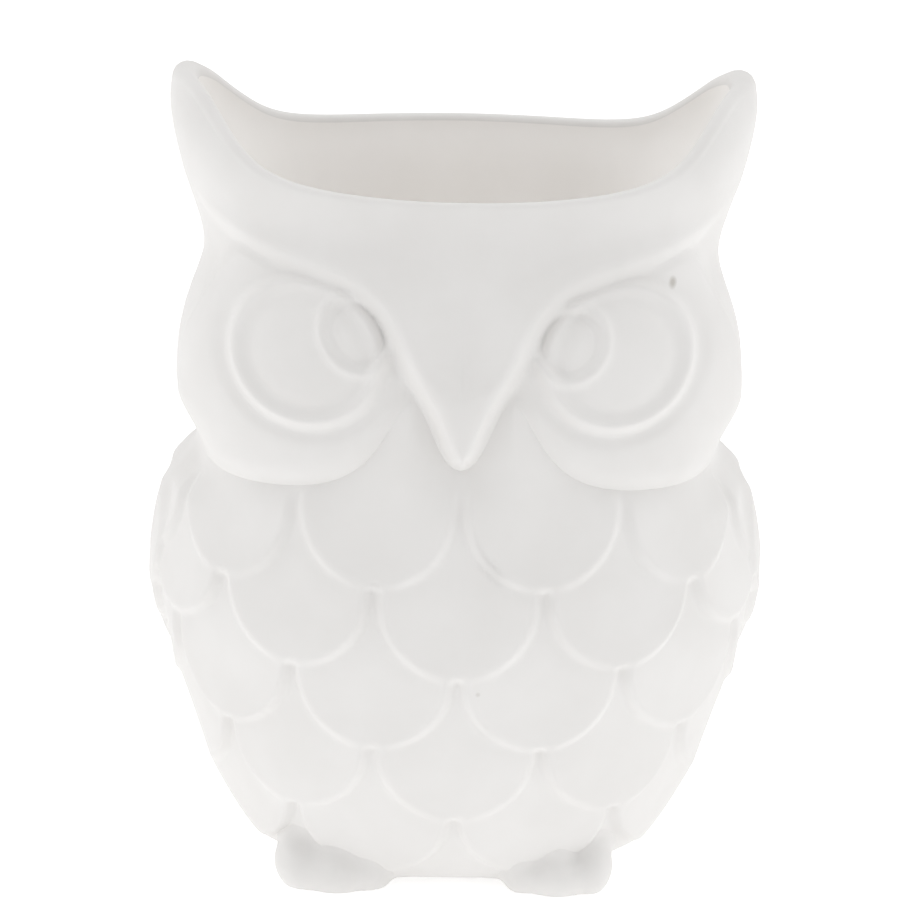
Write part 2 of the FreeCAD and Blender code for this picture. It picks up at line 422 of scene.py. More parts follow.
BROW_PROUD = 1.35       # height of the brow's raised edge
BROW_THINS = 0.7        # how much of that it loses towards the tufts
BEAK_PROUD = 1.9        # how much higher the edge is at the beak
BEAK_RIDGE = 1.7        # height of the ridge down the middle of the beak
PANEL = -0.5            # the forehead between its raised edges
DISC_SINK = 1.6         # how deep the disc lies beside the brow
DISC_REACH = 8.0        # how far from the brow it comes up again
BEAD = 0.75             # height of the bead round an eye, and of a pupil's rim
RECESS = 0.8            # depth of the hollow that a pupil's dome stands in
DOME = 1.4              # height of that dome


def forehead_relief(out, z, t):
    """The forehead panel, dished between its raised edges, and the beak."""
    along = smoothstep(out, 4, 34)
    crest = BEAK_PROUD * (1 - smoothstep(out, 3, 14)) + BROW_PROUD - BROW_THINS * along
    flat = np.maximum(smoothstep(out, 2, 7), smoothstep(z, 90, 98))
    fall = 1 / (1 + (np.maximum(-t - 2.6, 0) * flat / 3.4) ** 2)
    within = smooth_min(-t, np.full(t.shape, 3.0), 2.0)
    height = smoothstep(within, -1.2, 3.0) * (PANEL + (crest - PANEL) * fall)
    height = height + BEAK_RIDGE * bump(out, 4.6) * smoothstep(103 - z, 0, 17)
    return height * (1 - smoothstep(z, 112, 121))


def disc_relief(psi, out, z, t):
    """A facial disc, sunk beside the brow and full towards the cheek, with a rolled outer edge."""
    inside = disc_inside(psi, z)
    sunk = BROW_THINS * smoothstep(out, 4, 34) - DISC_SINK
    roll = 0.55 * smoothstep(inside, -0.4, 2.2) - 0.75 * bump(inside + 2.6, 3.0)
    dimple = 1.2 * bump(np.hypot(out - 9.2, z - 92.5), 2.8)
    return sunk * np.exp(-np.maximum(t, 0) / DISC_REACH) + roll * smoothstep(t, -0.5, 2.0) - dimple


def eye_relief(points, t):
    """The bead round an eye, between two shallow grooves."""
    eye = eye_inside(points)
    groove = 0.55 * bump(eye + 1.3, 1.4) + 0.3 * bump(eye - 3.1, 1.3)
    return (BEAD * bump(eye - 0.9, 1.1) - groove) * smoothstep(t, -0.5, 1.4)


def pupil_relief(points, t):
    """A pupil: a raised rim, a recess inside it and a low dome."""
    u, v = pupil_frame(points)
    edge = (1 - np.hypot(u, v)) * PUPIL_SIZE
    raised = BEAD * bump(edge + 0.9, 1.0)
    recess = RECESS * smoothstep(edge, -0.5, 1.1) * (1 + 0.4 * smoothstep(-v, -0.3, 1.0))
    dome = DOME * np.clip(1 - np.hypot(u, v - 0.08) ** 2 / 0.9, 0, 1) ** 0.75
    return (raised - recess + dome) * smoothstep(t, -1.6, 0.8) * (points[:, 1] < 0)


def face_relief(psi, points):
    """Height of the face: forehead and beak above the brow line, discs with their eyes below it."""
    x, y, z = points.T
    out = np.abs(x)
    t = brow_distance(points)
    disc = disc_relief(psi, out, z, t) + eye_relief(points, t) + pupil_relief(points, t)
    cover = smoothstep(t, -2.4, 1.2)
    height = forehead_relief(out, z, t) * (1 - cover) + disc * cover
    return height * smoothstep(-y, 0, 12)


def crease_distance(psi, points):
    """Distance from the crease between head and body."""
    x, y, z = points.T
    d = np.abs(z - crease_height(psi))
    near = (y < 0) & (d < 30)
    d[near] = np.minimum(d[near], np.abs(line_distance(np.abs(x[near]), z[near], CREASE_LINE)))
    return d


CREASE_FRONT, CREASE_SIDE = 1.3, 3.4    # depth of the crease under the face and elsewhere


def crease_depth(psi):
    beside = smoothstep(np.abs(wrapped(psi)), 0.75, 1.35)
    return CREASE_FRONT + (CREASE_SIDE - CREASE_FRONT) * beside


def to_side(psi):
    """0 at the front and 1 at the sides and back, where the crease is wide and soft."""
    return smoothstep(np.abs(wrapped(psi)), 0.7, 1.25)


def head_relief(psi, z):
    """Height of the head above the smooth form."""
    points, _ = form(psi, z)
    d = crease_distance(psi, points)
    beak = smoothstep(-brow_distance(points), -1.0, 0.8)
    round_over = 1 - (1 - np.clip(d / (4.6 - 1.6 * beak), 0, 1)) ** 2.2
    side = to_side(psi)
    cover = round_over * (1 - side) + smoothstep(d, 0, 11) * side
    deep = crease_depth(psi)
    return (face_relief(psi, points) + deep) * cover - deep


def body_relief(psi, z):
    """Height of the body above the smooth form."""
    points, _ = form(psi, z)
    height = feather_relief(psi, z)
    height = wing_relief(points, height)
    d = crease_distance(psi, points)
    side = to_side(psi)
    cover = (1 - np.exp(-d / 3.2)) * (1 - side) + smoothstep(d, 0, 8) * side
    deep = crease_depth(psi)
    return (height + deep) * cover - deep


# ---------------------------------------------------------------- triangles of the one surface
def columns(count, crowd):
    """Angles round the form, closer together at the front."""
    even = np.linspace(-math.pi, math.pi, 4001)
    density = 1 + crowd * (0.5 + 0.5 * np.cos(even)) ** 0.7
    total = np.concatenate([[0], np.cumsum((density[1:] + density[:-1]) / 2)])
    return np.interp(np.linspace(0, total[-1], count + 1)[:-1], total, even)


def lattice(psi, low, high, rows):
    """Vertices (psi, z) between two edges, and two triangles a cell."""
    n = len(psi)
    share = np.linspace(0, 1, rows + 1)
    z = low + (high - low) * share[:, None]
    spots = np.stack([np.broadcast_to(psi, z.shape), z], -1).reshape(-1, 2)
    i, j = np.meshgrid(np.arange(rows), np.arange(n), indexing="ij")
    a = i * n + j
    b = i * n + (j + 1) % n
    first = np.stack([a, b, b + n], -1).reshape(-1, 3)
    second = np.stack([a, b + n, a + n], -1).reshape(-1, 3)
    return spots, np.concatenate([first, second])


def split(spots, tris, values):
    """Cuts every triangle along values = 0, so that none lies on both sides."""
    spots = list(map(tuple, spots))
    values = list(values)
    sign = np.sign(values)
    mixed = (sign[tris].min(1) < 0) & (sign[tris].max(1) > 0)
    kept = [tris[~mixed]]
    cuts = {}

    def cut(a, b):
        key = (min(a, b), max(a, b))
        if key not in cuts:
            t = values[a] / (values[a] - values[b])
            turn = wrapped(spots[b][0] - spots[a][0])
            z = spots[a][1] + t * (spots[b][1] - spots[a][1])
            spots.append((spots[a][0] + t * turn, z))
            cuts[key] = len(spots) - 1
        return cuts[key]

    new = []
    for tri in tris[mixed].tolist():
        loop = []
        for a, b in zip(tri, tri[1:] + tri[:1]):
            loop.append(a)
            if sign[a] * sign[b] < 0:
                loop.append(cut(a, b))
        marks = [k for k, v in enumerate(loop) if v >= len(sign) or sign[v] == 0]
        first, second = marks
        halves = (loop[first:second + 1], loop[second:] + loop[:first + 1])
        for half in halves:
            for k in range(1, len(half) - 1):
                new.append((half[0], half[k], half[k + 1]))
    if new:
        kept.append(np.array(new))
    return np.array(spots), np.concatenate(kept)


SNAP = 0.06             # a vertex this close to a border counts as on it


def divide(spots, tris, fields):
    """Cuts the triangles along each field's edge; the first field that holds one names it."""
    for field in fields.values():
        values = field(spots)
        values[np.abs(values) < SNAP] = 0.0
        spots, tris = split(spots, tris, values)
    middles = middle_spots(spots, tris)
    label = np.full(len(tris), "", dtype=object)
    for name, field in fields.items():
        label[(label == "") & (field(middles) > 0)] = name
    return spots, tris, label


def middle_spots(spots, tris):
    """The middle of each triangle, in angle and height."""
    psi = spots[tris, 0]
    psi = psi[:, :1] + wrapped(psi - psi[:, :1])
    return np.stack([psi.mean(1), spots[tris, 1].mean(1)], -1)


def vertex_normals(points, tris):
    """Outward directions at the vertices, from the triangles round them."""
    a, b, c = (points[tris[:, k]] for k in range(3))
    face = np.cross(b - a, c - a)
    normals = np.zeros_like(points)
    for k in range(3):
        np.add.at(normals, tris[:, k], face)
    return normals / np.maximum(np.linalg.norm(normals, axis=1, keepdims=True), 1e-12)


def outer_edges(tris):
    """Directed edges that only one triangle uses."""
    edges = np.concatenate([tris[:, [0, 1]], tris[:, [1, 2]], tris[:, [2, 0]]])
    big = int(tris.max()) + 1
    key = edges[:, 0] * big + edges[:, 1]
    back = edges[:, 1] * big + edges[:, 0]
    return edges[~np.isin(key, back)]


class Solid:
    """A closed mesh that is put together from patches."""

    def __init__(self):
        self.points, self.faces, self.normals, self.hollow = [], [], {}, {}
        self.count = 0

    def add(self, points):
        self.points.append(np.asarray(points, float))
        start = self.count
        self.count += len(points)
        return start + np.arange(len(points))

    def patch(self, tris, normals=None, hollow=False):
        """Adds triangles; normals, three for each, smooth them across borders between pieces."""
        first = sum(len(f) for f in self.faces)
        if normals is not None:
            self.normals[first] = normals
        if hollow:
            self.hollow[first] = len(tris)
        self.faces.append(np.asarray(tris, int))

    def make(self, name):
        points = np.concatenate(self.points) * MM
        faces = np.concatenate(self.faces)
        mesh = bpy.data.meshes.new(name)
        mesh.vertices.add(len(points))
        mesh.vertices.foreach_set("co", points.astype(np.float32).ravel())
        mesh.loops.add(faces.size)
        mesh.loops.foreach_set("vertex_index", faces.astype(np.int32).ravel())
        mesh.polygons.add(len(faces))
        mesh.polygons.foreach_set("loop_start", np.arange(0, faces.size, 3, dtype=np.int32))
        mesh.update(calc_edges=True)
        mesh.shade_smooth()
        loops = np.zeros((len(faces), 3, 3))
        for first, normals in self.normals.items():
            loops[first:first + len(normals)] = normals
        mesh.normals_split_custom_set(loops.reshape(-1, 3).tolist())
        # The hollow's faces take the second material, the lighter inside clay whose extra brightness
        # is painted light.
        inside = np.zeros(len(faces), np.int32)
        for first, count in self.hollow.items():
            inside[first:first + count] = 1
        mesh.polygons.foreach_set("material_index", inside)
        piece = bpy.data.objects.new(name, mesh)
        bpy.context.scene.collection.objects.link(piece)
        return piece


def renumber(solid, points, tris):
    """Adds the points that some triangles use; returns the triangles in the solid's numbers."""
    used = np.unique(tris)
    numbers = np.zeros(len(points), int)
    numbers[used] = solid.add(points[used])
    return numbers[tris], numbers


def inlay(name, points, seat, tris, normals):
    """A piece that lies on a shell: its face, its underside and the wall between them."""
    solid = Solid()
    top, top_number = renumber(solid, points, tris)
    solid.patch(top, normals[tris])
    under, under_number = renumber(solid, seat, tris)
    solid.patch(under[:, ::-1])
    edges = outer_edges(tris)
    a, b = top_number[edges].T
    c, d = under_number[edges].T
    solid.patch(np.stack([b, a, c], -1))
    solid.patch(np.stack([b, c, d], -1))
    return solid.make(name)


def zip_rings(first, first_psi, second, second_psi):
    """Triangles between two rings that both run once round with rising angle."""
    tris = []
    i = j = 0
    n, m = len(first), len(second)
    while i < n or j < m:
        next_i = first_psi[i + 1] if i + 1 < n else first_psi[0] + 2 * math.pi
        next_j = second_psi[j + 1] if j + 1 < m else second_psi[0] + 2 * math.pi
        if j >= m or (i < n and next_i <= next_j):
            tris.append((first[i % n], first[(i + 1) % n], second[j % m]))
            i += 1
        else:
            tris.append((first[i % n], second[(j + 1) % m], second[j % m]))
            j += 1
    return np.array(tris)


def rows_of_quads(rings):
    """Triangles between rings of equal length that run the same way."""
    tris = []
    for low, high in zip(rings, rings[1:]):
        a, b = low, np.roll(low, -1)
        c, d = high, np.roll(high, -1)
        tris += [np.stack([a, b, d], -1), np.stack([a, d, c], -1)]
    return np.concatenate(tris)


def disc_fan(ring, middle):
    """Triangles from a ring to the vertex in its middle."""
    return np.stack([ring, np.roll(ring, -1), np.full(len(ring), middle)], -1)


def shell_face(solid, spots, points, seat, tris, label, normals):
    """The outside of a shell: its own surface, and the seats under the pieces that lie on it."""
    own = tris[label == ""]
    under = tris[label != ""]
    top, top_number = renumber(solid, points, own)
    solid.patch(top, normals[own])
    psi_of = {}
    psi_of.update(zip(top_number[np.unique(own)].tolist(), spots[np.unique(own), 0]))
    edge_sets = [top]
    if len(under):
        low, low_number = renumber(solid, seat, under)
        solid.patch(low)
        psi_of.update(zip(low_number[np.unique(under)].tolist(), spots[np.unique(under), 0]))
        own_edges = set(map(tuple, outer_edges(own).tolist()))
        under_edges = set(map(tuple, outer_edges(under).tolist()))
        shared = np.array([(a, b) for a, b in own_edges if (b, a) in under_edges])
        a, b = top_number[shared].T
        c, d = low_number[shared].T
        walls = np.concatenate([np.stack([b, a, c], -1), np.stack([b, c, d], -1)])
        solid.patch(walls)
        edge_sets += [low, walls]
    edges = outer_edges(np.concatenate(edge_sets))
    return edges, psi_of


def loops_by_height(solid, edges):
    """Splits a shell's open edges into its lower and its upper ring."""
    heights = np.concatenate(solid.points)[:, 2]
    after = {int(a): int(b) for a, b in edges}
    rings = []
    while after:
        start = next(iter(after))
        ring, at = [], start
        while at in after:
            ring.append(at)
            at = after.pop(at)
        rings.append(ring)
    rings.sort(key=lambda ring: heights[ring].mean())
    return rings


def from_back(ring, psi_of):
    """A ring turned to start at the back, in rising angle, with its angles made to rise."""
    psi = np.array([psi_of[v] for v in ring])
    turns = wrapped(np.roll(psi, -1) - psi)
    if turns.sum() < 0:
        ring, psi = ring[::-1], psi[::-1]
    psi = wrapped(psi)
    start = int(np.argmin(psi))
    ring = ring[start:] + ring[:start]
    psi = np.concatenate([psi[start:], psi[:start]])
    return np.array(ring), np.maximum.accumulate(psi)


# ---------------------------------------------------------------- materials
def new_nodes(material):
    """The material's node tree, emptied: its nodes and its links."""
    material.use_nodes = True
    tree = material.node_tree
    tree.nodes.clear()
    return tree.nodes, tree.links


# Small grey flecks in the clay: place, half size, strength.
FLECKS = [
    ((35.3, -26.1, 109.4), (0.85, 4.0, 1.25), 0.6),
    ((-29.0, -37.0, 51.5), (0.8, 4.0, 0.6), 0.3),
    ((3.5, -45.0, 43.0), (0.6, 4.0, 0.6), 0.35),
]


def bisque(name, shade):
    """Matt white unglazed porcelain: fine grain and faint mottling."""
    material = bpy.data.materials.new(name)
    nodes, links = new_nodes(material)
    out = nodes.new("ShaderNodeOutputMaterial")
    shader = nodes.new("ShaderNodeBsdfPrincipled")
    shader.inputs["Specular IOR Level"].default_value = 0.25
    links.new(shader.outputs["BSDF"], out.inputs["Surface"])
    place = nodes.new("ShaderNodeTexCoord")

    def noise(scale, detail, roughness=0.5):
        node = nodes.new("ShaderNodeTexNoise")
        node.inputs["Scale"].default_value = scale
        node.inputs["Detail"].default_value = detail
        node.inputs["Roughness"].default_value = roughness
        links.new(place.outputs["Object"], node.inputs["Vector"])
        return node.outputs["Fac"]

    def ramp(source, stops):
        node = nodes.new("ShaderNodeValToRGB")
        links.new(source, node.inputs["Fac"])
        while len(node.color_ramp.elements) < len(stops):
            node.color_ramp.elements.new(0.5)
        for element, (at, colour) in zip(node.color_ramp.elements, stops):
            element.position = at
            element.color = (*colour, 1)
        return node.outputs["Color"]

    def fleck(under, middle, half, strength):
        """A small grey fleck in the clay, at a place on the figure."""
        away = nodes.new("ShaderNodeVectorMath")
        away.operation = "SUBTRACT"
        links.new(place.outputs["Object"], away.inputs[0])
        away.inputs[1].default_value = [v * MM for v in middle]
        size = nodes.new("ShaderNodeVectorMath")
        size.operation = "DIVIDE"
        links.new(away.outputs["Vector"], size.inputs[0])
        size.inputs[1].default_value = [v * MM for v in half]
        length = nodes.new("ShaderNodeVectorMath")
        length.operation = "LENGTH"
        links.new(size.outputs["Vector"], length.inputs[0])
        fade = nodes.new("ShaderNodeMapRange")
        links.new(length.outputs["Value"], fade.inputs["Value"])
        fade.inputs["From Min"].default_value = 0.35
        fade.inputs["From Max"].default_value = 1.0
        fade.inputs["To Min"].default_value = strength
        fade.inputs["To Max"].default_value = 0.0
        mix = nodes.new("ShaderNodeMix")
        mix.data_type = "RGBA"
        links.new(fade.outputs["Result"], mix.inputs[0])
        links.new(under, mix.inputs[6])
        mix.inputs[7].default_value = (0.42, 0.39, 0.34, 1)
        return mix.outputs[2]

    colour = ramp(noise(70, 3), [(0.35, shade[0]), (0.65, shade[1])])
    for middle, half, strength in FLECKS:
        colour = fleck(colour, middle, half, strength)
    links.new(colour, shader.inputs["Base Color"])
    rough = nodes.new("ShaderNodeMapRange")
    links.new(noise(900, 2), rough.inputs["Value"])
    rough.inputs["To Min"].default_value = 0.72
    rough.inputs["To Max"].default_value = 0.9
    links.new(rough.outputs["Result"], shader.inputs["Roughness"])

    grain = nodes.new("ShaderNodeBump")
    grain.inputs["Strength"].default_value = 0.25
    grain.inputs["Distance"].default_value = 0.00004
    links.new(noise(3200, 3, 0.6), grain.inputs["Height"])
    waves = nodes.new("ShaderNodeBump")
    waves.inputs["Strength"].default_value = 0.3
    waves.inputs["Distance"].default_value = 0.0002
    links.new(noise(220, 2), waves.inputs["Height"])
    links.new(grain.outputs["Normal"], waves.inputs["Normal"])
    links.new(waves.outputs["Normal"], shader.inputs["Normal"])
    return material


def plain(name, colour, glow):
    """A plain matt colour that also gives off a little light."""
    material = bpy.data.materials.new(name)
    material.use_nodes = True
    shader = material.node_tree.nodes["Principled BSDF"]
    shader.inputs["Base Color"].default_value = (*colour, 1)
    shader.inputs["Roughness"].default_value = 0.9
    shader.inputs["Emission Color"].default_value = (1, 1, 1, 1)
    shader.inputs["Emission Strength"].default_value = glow
    return material


# ---------------------------------------------------------------- building the pieces
HEAD_COLUMNS, HEAD_ROWS = 620, 120
BODY_COLUMNS, BODY_ROWS = 540, 158
INNER_COLUMNS = 200
BROW_TOP, BROW_SIDE = 117.0, 42.0       # where the brow piece ends in the head shell
RING_EDGE = 1.2         # how far an eye ring reaches past the middle of its bead
# How far below the smooth form the undersides of the inlaid pieces lie.
EYE_SEAT = 3.0
BROW_SEAT = 1.3         # near the rim, where the wall is thin
THIN_WALL_FROM = 113.0
WING_SEAT = 1.2
HEAD_THICKNESS = 0.4    # the least that is left of a piece on the head where its relief is deep
BODY_THICKNESS = 0.8    # and of one on the body
RIM_CROWN = 0.9         # height of the rim's rounding over half its width
# Rings of the underside, from the edge inwards: share of the base's size, height.
UNDERSIDE = [(0.86, 0.0), (0.83, 0.35), (0.78, 0.6), (0.4, 0.6)]


def at_level(spots, level):
    """Points at a height above the smooth form."""
    points, out = form(spots[:, 0], spots[:, 1])
    return points + out * np.reshape(level, (-1, 1))


def spot_field(test):
    """A field over (psi, z) from one over points."""
    return lambda spots: test(form(spots[:, 0], spots[:, 1])[0])


def side_field(test, side):
    """The same for one side of the owl only: 1 is its left, -1 its right."""
    def field(spots):
        points = form(spots[:, 0], spots[:, 1])[0]
        values = test(points)
        return np.minimum(values, points[:, 0] * side)
    return field


def head_fields():
    """The regions of the head's pieces, above 0 inside; an earlier one lies on a later one."""
    def brow(points):
        ends = np.minimum(BROW_TOP - points[:, 2], BROW_SIDE - np.abs(points[:, 0]))
        return np.minimum(-brow_distance(points), ends)

    def ring(points):
        return eye_inside(points) + RING_EDGE

    def disc(spots):
        points = form(spots[:, 0], spots[:, 1])[0]
        ahead = np.minimum(np.cos(spots[:, 0]) * 40 + 12, brow_distance(points))
        return np.minimum(disc_inside(spots[:, 0], spots[:, 1]), ahead)

    def on_side(field, side):
        return lambda spots: np.minimum(field(spots), side * np.sin(spots[:, 0]) * 40)

    fields = {"brow_and_beak": spot_field(brow)}
    for side, word in ((1, "left"), (-1, "right")):
        fields[f"{word}_pupil"] = side_field(pupil_inside, side)
        fields[f"{word}_eye_ring"] = side_field(ring, side)
        fields[f"{word}_facial_disc"] = on_side(disc, side)
    return fields


def body_fields():
    """The regions of the body's pieces, above 0 inside."""
    fields = {"left_wing": side_field(wing_inside, 1), "right_wing": side_field(wing_inside, -1)}
    fields["tail"] = spot_field(tail_inside)
    return fields


def inner_spots(psi, share, top):
    """The head's hollow side: points set in from the smooth form."""
    z = top + (crease_height(psi) - top) * share
    down = smoothstep(top - z, 2, 22)
    across = rim_wall(psi) * (1 - down) + WALL * down
    along = RIM_WALL * (1 - down) + WALL * down
    return outline(psi, z, (across, along))


def build_head():
    """Brow and beak, pupils, eye rings and discs, and the shell that they lie on."""
    psi = columns(HEAD_COLUMNS, 1.3)
    low, high = crease_height(psi), rim_line(psi)
    spots, tris = lattice(psi, low, high, HEAD_ROWS)
    spots, tris, label = divide(spots, tris, head_fields())
    relief = head_relief(spots[:, 0], spots[:, 1])
    points = at_level(spots, relief)
    low_down = smoothstep(THIN_WALL_FROM - spots[:, 1], 0, 9)
    seat_level = -BROW_SEAT - (EYE_SEAT - BROW_SEAT) * low_down
    seat = at_level(spots, np.minimum(seat_level, relief - HEAD_THICKNESS))
    normals = vertex_normals(points, tris)
    pieces = [
        inlay(f"{name}_clay", points, seat, tris[label == name], normals) for name in head_fields()
    ]

    solid = Solid()
    edges, psi_of = shell_face(solid, spots, points, seat, tris, label, normals)
    lower, upper = loops_by_height(solid, edges)
    upper, upper_psi = from_back(upper, psi_of)
    lower, lower_psi = from_back(lower, psi_of)

    # the rim: rounded over from the outer to the inner edge
    outer = np.concatenate(solid.points)[upper]
    inner_top = rim_line(upper_psi, True)
    inner = inner_spots(upper_psi, 0.0, inner_top)
    middle, half = (outer + inner) / 2, (outer - inner) / 2
    tangent = np.roll(outer, -1, 0) - np.roll(outer, 1, 0)
    up = np.cross(half, tangent)
    up *= np.sign(up[:, 2].sum()) / np.linalg.norm(up, axis=1, keepdims=True)
    up *= np.linalg.norm(half, axis=1, keepdims=True)
    rings = [upper]
    for turn in np.radians([22, 45, 68, 90, 112, 135, 158]):
        rings.append(solid.add(middle + half * math.cos(turn) + RIM_CROWN * up * math.sin(turn)))
    rings.append(solid.add(inner))
    solid.patch(rows_of_quads(rings))

    # the inside
    inner_psi = np.linspace(-math.pi, math.pi, INNER_COLUMNS + 1)[:-1]
    inner_high = rim_line(inner_psi, True)
    shares = 1 - np.cos(np.linspace(0.06, 1, 30) * math.pi / 2)
    inner_rings = [solid.add(inner_spots(inner_psi, share, inner_high)) for share in shares]
    solid.patch(zip_rings(rings[-1], upper_psi, inner_rings[0], inner_psi))
    solid.patch(rows_of_quads(inner_rings), hollow=True)
    solid.patch(zip_rings(inner_rings[-1], inner_psi, lower, lower_psi))
    pieces.append(solid.make("head_shell_clay"))
    return pieces


def build_body():
    """Wings and tail, and the shell that they lie on."""
    psi = columns(BODY_COLUMNS, 0.8)
    low, high = np.zeros_like(psi), crease_height(psi)
    spots, tris = lattice(psi, low, high, BODY_ROWS)
    spots, tris, label = divide(spots, tris, body_fields())
    relief = body_relief(spots[:, 0], spots[:, 1])
    points = at_level(spots, relief)
    points = tail_push(form(spots[:, 0], spots[:, 1])[0], points)
    points[:, 2] = np.maximum(points[:, 2], 0)
    points[spots[:, 1] <= 0, 2] = 0
    seat = at_level(spots, np.minimum(-WING_SEAT, relief - BODY_THICKNESS))
    seat[spots[:, 1] <= 0, 2] = 0
    normals = vertex_normals(points, tris)
    pieces = [
        inlay(f"{name}_clay", points, seat, tris[label == name], normals) for name in body_fields()
    ]

    solid = Solid()
    edges, psi_of = shell_face(solid, spots, points, seat, tris, label, normals)
    lower, upper = loops_by_height(solid, edges)
    upper, upper_psi = from_back(upper, psi_of)
    lower, _ = from_back(lower, psi_of)

    # underneath: a flat ring to stand on and a shallow hollow inside it
    base = np.concatenate(solid.points)[lower] * [1, 1, 0]
    under = [lower]
    for share, rise in UNDERSIDE:
        under.append(solid.add(base * share + [0, 0, rise]))
    under_middle = solid.add([[0, 0, UNDERSIDE[-1][1]]])[0]
    solid.patch(rows_of_quads(under)[:, ::-1])
    solid.patch(disc_fan(under[-1], under_middle)[:, ::-1])

    # the inside, down to the floor
    inner_psi = np.linspace(-math.pi, math.pi, INNER_COLUMNS + 1)[:-1]
    top = crease_height(inner_psi)
    rings = []
    for share in np.linspace(0, 1, 26):
        z = top + (FLOOR + FLOOR_CORNER - top) * share
        wall = WALL + 0.8 * share
        rings.append(solid.add(outline(inner_psi, z, (wall, wall))))
    corner = np.concatenate(solid.points)[rings[-1]]
    for turn in np.radians([30, 60, 90]):
        set_in = 1 - FLOOR_CORNER * (1 - math.cos(turn)) / FLOOR_RADIUS
        rings.append(solid.add(corner * [set_in, set_in, 1] - [0, 0, FLOOR_CORNER * math.sin(turn)]))
    rings.append(solid.add(np.concatenate(solid.points)[rings[-1]] * [0.5, 0.5, 1]))
    middle = solid.add([[0, 0, FLOOR]])[0]
    solid.patch(zip_rings(upper, upper_psi, rings[0], inner_psi))
    solid.patch(rows_of_quads(rings), hollow=True)
    solid.patch(disc_fan(rings[-1], middle), hollow=True)
    pieces.append(solid.make("body_shell_clay"))
    return pieces


# ---------------------------------------------------------------- feet
# Side: middle of the pad across and ahead, its half width and half depth, how clearly toes show.
FEET = {
    -1: (20.2, -22.6, 10.4, 8.4, 0.35),
    1: (18.3, -23.4, 9.6, 8.6, 1.0),
}


def foot_field(p, side):
    """Below 0 inside the foot: a rounded pad with toes, blended into the body behind it."""
    x, y, z = p[..., 0] * side, p[..., 1], p[..., 2]
    middle, ahead, half, deep, clear = FEET[side]

    def oval(cx, cy, cz, rx, ry, rz):
        k = np.sqrt(((x - cx) / rx) ** 2 + ((y - cy) / ry) ** 2 + ((z - cz) / rz) ** 2)
        return (k - 1) * min(rx, ry, rz)

    pad = oval(middle, ahead, 3.4, half, deep, 6.6 - 1.2 * clear)
    for step in (-1, 0, 1):
        toe = oval(middle + 0.66 * half * step, ahead - 2.2 + abs(step), 4.4, 3.5, 6.4, 5.6)
        pad = smooth_min(pad, toe + 0.9 * (1 - clear), 3.4 - 2.4 * clear)
    a, b, n = half_width(z), half_depth(z), squareness(z)
    body = ((np.abs(x / a) ** n + np.abs(y / b) ** n) ** (1 / n) - 1) * b + 0.35
    return smooth_min(pad, body, 4.0)


FOOT_ROWS, FOOT_COLUMNS = 110, 170
FOOT_REACH = 16.0       # further than the foot's surface ever lies from its middle
HALVINGS = 36


def build_foot(side):
    """The foot's surface, found along rays from its middle; its back lies inside the body wall."""
    rows, cols = FOOT_ROWS, FOOT_COLUMNS
    centre = np.array([FEET[side][0] * side, FEET[side][1], 3.2])
    polar = np.linspace(0.02, math.pi - 0.02, rows)
    turn = np.linspace(0, 2 * math.pi, cols, endpoint=False)
    up, across = np.cos(polar)[:, None], np.sin(polar)[:, None]
    ray = np.stack([
        np.broadcast_to(across * np.cos(turn), (rows, cols)),
        np.broadcast_to(across * np.sin(turn), (rows, cols)),
        np.broadcast_to(up, (rows, cols)),
    ], -1)
    near, far = np.zeros((rows, cols)), np.full((rows, cols), FOOT_REACH)
    for _ in range(HALVINGS):
        mid = (near + far) / 2
        inside = foot_field(centre + ray * mid[..., None], side) < 0
        near, far = np.where(inside, mid, near), np.where(inside, far, mid)
    points = (centre + ray * near[..., None]).reshape(-1, 3)
    a, b = half_width(points[:, 2]), half_depth(points[:, 2])
    across = np.clip(points[:, 0] / a, -0.98, 0.98)
    behind = -b * np.sqrt(1 - across**2) + 1.4
    points[:, 1] = np.minimum(points[:, 1], behind)
    points[:, 2] = np.maximum(points[:, 2], 0)
    solid = Solid()
    numbers = solid.add(points).reshape(rows, cols)
    solid.patch(rows_of_quads(list(numbers))[:, ::-1])
    top = solid.add([points[:cols].mean(0)])[0]
    bottom = solid.add([points[-cols:].mean(0)])[0]
    solid.patch(disc_fan(numbers[0], top))
    solid.patch(disc_fan(numbers[-1], bottom)[:, ::-1])
    word = "left" if side > 0 else "right"
    return solid.make(f"{word}_foot_clay")


# ---------------------------------------------------------------- assembly
skin = bisque("bisque", [(0.80, 0.787, 0.772), (0.825, 0.813, 0.80)])
# The inside gets a lighter clay colour than the outside: painted light, standing for the light that
# comes through the thin wall and fills the hollow.
hollow = bisque("bisque_inside", [(0.93, 0.91, 0.885), (0.95, 0.93, 0.91)])
pieces = build_head() + build_body() + [build_foot(1), build_foot(-1)]
for piece in pieces:
    piece.data.materials.append(skin)
    piece.data.materials.append(hollow)
    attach(piece, "root")
    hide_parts(piece.name[: -len("_clay")])


# ---------------------------------------------------------------- stage, light and camera
FLOOR_SIZE = 6.0        # metres from the middle to a side
CAMERA_TURN = (-1.0, 16.0, 1.17)        # azimuth, elevation and roll in degrees
CAMERA_DISTANCE = 700.0
CAMERA_AIM = (0.53, 0.0, 70.42)
CAMERA_LENS, CAMERA_SENSOR = 154.76, 36.0


def stage():
    """A plain pale floor."""
    mesh = bpy.data.meshes.new("floor")
    size = FLOOR_SIZE
    corners = [(-size, -size, 0), (size, -size, 0), (size, size, 0), (-size, size, 0)]
    mesh.from_pydata(corners, [], [(0, 1, 2, 3)])
    floor = bpy.data.objects.new("floor", mesh)
    bpy.context.scene.collection.objects.link(floor)
    floor.data.materials.append(plain("floor_white", (0.9, 0.9, 0.9), 0.42))


def softbox(name, place, target, size, power):
    light = bpy.data.lights.new(name, "AREA")
    light.shape = "RECTANGLE"
    light.size, light.size_y = size
    light.energy = power
    lamp = bpy.data.objects.new(name, light)
    lamp.location = place
    lamp.rotation_euler = (Vector(target) - Vector(place)).to_track_quat("-Z", "Y").to_euler()
    bpy.context.scene.collection.objects.link(lamp)


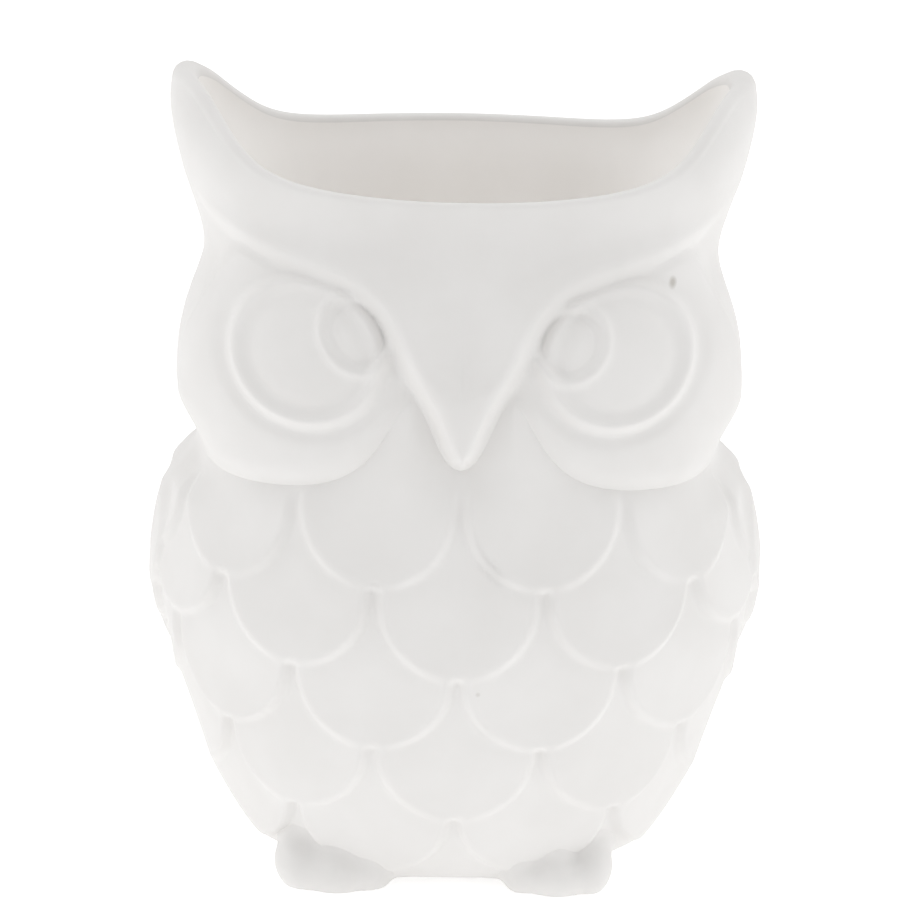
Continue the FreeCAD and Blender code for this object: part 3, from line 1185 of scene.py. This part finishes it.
def lights():
    """A light tent: bright sides and top, dimmer in front and behind."""
    world = bpy.data.worlds.new("studio")
    world.use_nodes = True
    nodes, links = world.node_tree.nodes, world.node_tree.links
    background = nodes["Background"]
    place = nodes.new("ShaderNodeTexCoord")
    axes = nodes.new("ShaderNodeSeparateXYZ")
    links.new(place.outputs["Generated"], axes.inputs["Vector"])
    fade = nodes.new("ShaderNodeMapRange")
    fade.interpolation_type = "SMOOTHSTEP"
    size = nodes.new("ShaderNodeMath")
    size.operation = "ABSOLUTE"
    links.new(axes.outputs["Y"], size.inputs[0])
    links.new(size.outputs["Value"], fade.inputs["Value"])
    fade.inputs["From Min"].default_value = 0.5
    fade.inputs["From Max"].default_value = 1.0
    fade.inputs["To Min"].default_value = 1.0
    fade.inputs["To Max"].default_value = 0.2
    links.new(fade.outputs["Result"], background.inputs["Strength"])
    background.inputs["Color"].default_value = (1, 1, 1, 1)
    bpy.context.scene.world = world
    aim = (0, 0, 0.07)
    softbox("left_box", (-0.75, 0.15, 0.30), aim, (0.9, 0.9), 0.3)
    softbox("right_box", (0.75, 0.15, 0.30), aim, (0.9, 0.9), 0.3)
    softbox("top_box", (0, 0.1, 0.85), aim, (0.6, 0.6), 0.35)
    # light that comes through the thin wall fills the hollow
    glow = bpy.data.lights.new("inner_glow", "POINT")
    glow.energy = 0.008
    glow.shadow_soft_size = 0.015
    lamp = bpy.data.objects.new("inner_glow", glow)
    lamp.location = (0, 0.003, 0.1)
    lamp.visible_camera = False
    bpy.context.scene.collection.objects.link(lamp)
    bpy.context.scene.view_settings.view_transform = "Standard"


def camera():
    """A long lens, slightly above the owl and looking down at it."""
    azimuth, elevation, roll = map(math.radians, CAMERA_TURN)
    distance = CAMERA_DISTANCE * MM
    target = Vector(CAMERA_AIM) * MM
    back = Vector((
        math.sin(azimuth) * math.cos(elevation),
        -math.cos(azimuth) * math.cos(elevation),
        math.sin(elevation),
    ))
    data = bpy.data.cameras.new("camera")
    data.sensor_width = CAMERA_SENSOR
    data.lens = CAMERA_LENS
    eye = bpy.data.objects.new("camera", data)
    turn = back.to_track_quat("Z", "Y").to_matrix().to_4x4() @ Matrix.Rotation(roll, 4, "Z")
    eye.matrix_world = Matrix.Translation(target + back * distance) @ turn
    bpy.context.scene.collection.objects.link(eye)
    bpy.context.scene.camera = eye


stage()
lights()
camera()
